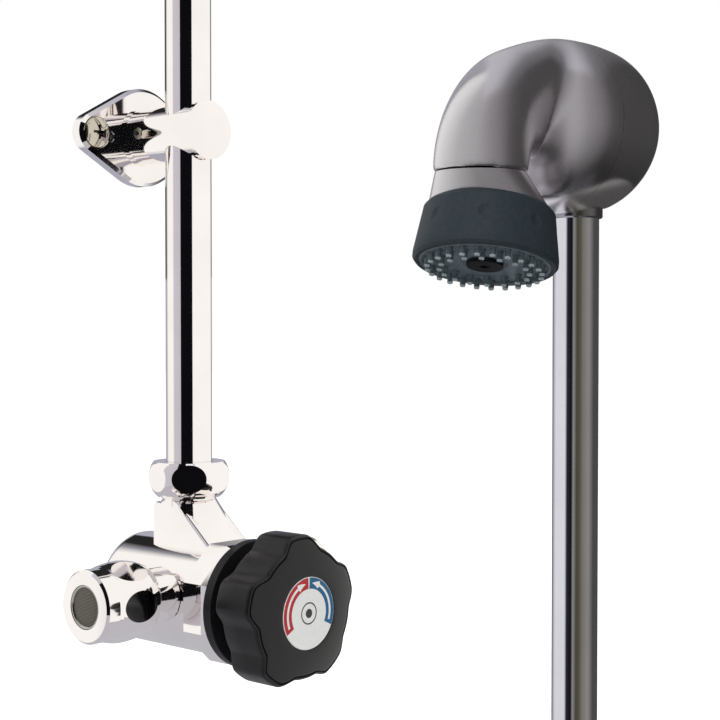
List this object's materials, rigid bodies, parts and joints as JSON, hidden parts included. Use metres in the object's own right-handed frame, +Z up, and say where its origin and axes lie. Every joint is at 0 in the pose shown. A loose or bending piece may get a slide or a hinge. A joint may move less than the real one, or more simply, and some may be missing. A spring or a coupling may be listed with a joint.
{
  "type": "timed shower valve set",
  "caption": "Wall-held shower riser with a timed mixing push valve, and its tube with a hooded shower head.",
  "frame": {"origin": "middle of the bracket plate's wall face", "axes": "+Z up along the riser, -Y out of the wall into the room and along the knob axis, +X to the right inlet as seen from the room"},
  "size_m": [0.1701, 0.1608, 0.28],
  "materials": {
    "chrome_body": "polished chrome",
    "chrome_nut": "polished chrome",
    "chrome_tube": "polished chrome",
    "chrome_bracket": "polished chrome",
    "chrome_grey": "soft chrome",
    "chrome_grey_tube": "polished chrome",
    "brass_inner": "machined",
    "black_metal": "satin black",
    "rubber_dark": "moulded",
    "mesh_steel": "woven",
    "white_plastic": "moulded",
    "spring_steel": "drawn and turned",
    "knob_black": "satin moulding",
    "collar_black": "satin moulding",
    "label_print": "printed red and blue arrows",
    "screw_brassy": "plated, slightly yellow",
    "ring_grey": "soft-touch moulding",
    "plate_grey": "moulding",
    "screw_dark": "moulding"
  },
  "bodies": {
    "root": {"valve_body": "chrome_body", "riser_nut": "chrome_nut", "riser_olive": "brass_inner", "riser_tube": "chrome_tube", "inlet_nut_left": "chrome_nut", "inlet_nut_right": "chrome_nut", "inlet_washer_left": "rubber_dark", "inlet_washer_right": "rubber_dark", "inlet_strainer_left": "mesh_steel", "inlet_strainer_right": "mesh_steel", "check_valve_left": "white_plastic", "check_valve_right": "white_plastic", "cartridge_housing": "brass_inner", "cartridge_bonnet": "black_metal", "stem_seal": "rubber_dark", "return_spring": "spring_steel", "knob_collar": "collar_black", "bracket_plate": "chrome_bracket", "bracket_post": "chrome_bracket", "bracket_end_cap": "chrome_bracket", "bracket_set_screw": "spring_steel", "wall_screws": "screw_brassy", "upper_tube": "chrome_grey_tube", "head_tube_ring": "chrome_grey", "head_rear_shell": "chrome_grey", "head_front_shell": "chrome_grey", "head_skirt": "chrome_grey", "head_seal": "rubber_dark", "waterway": "brass_inner", "flow_regulator": "white_plastic", "spray_ring": "ring_grey", "spray_plate": "plate_grey", "face_screw": "screw_dark"},
    "selector": {"mixing_sleeve": "white_plastic"},
    "knob": {"knob": "knob_black", "knob_label": "label_print", "knob_screw": "spring_steel", "push_stem": "spring_steel", "piston": "brass_inner", "piston_seal": "rubber_dark"}
  },
  "joints": [
    {"name": "knob_turn", "type": "hinge", "parent": "root", "child": "selector", "pos_m": [0, -0.028, -0.16], "axis": [0, 1, 0], "range_deg": [-45, 45]},
    {"name": "knob_push", "type": "slide", "parent": "selector", "child": "knob", "axis": [0, 1, 0], "range_m": [0, 0.0055], "stiffness_N_per_m": 900, "springref_m": -0.004, "deforming": ["return_spring"]}
  ]
}
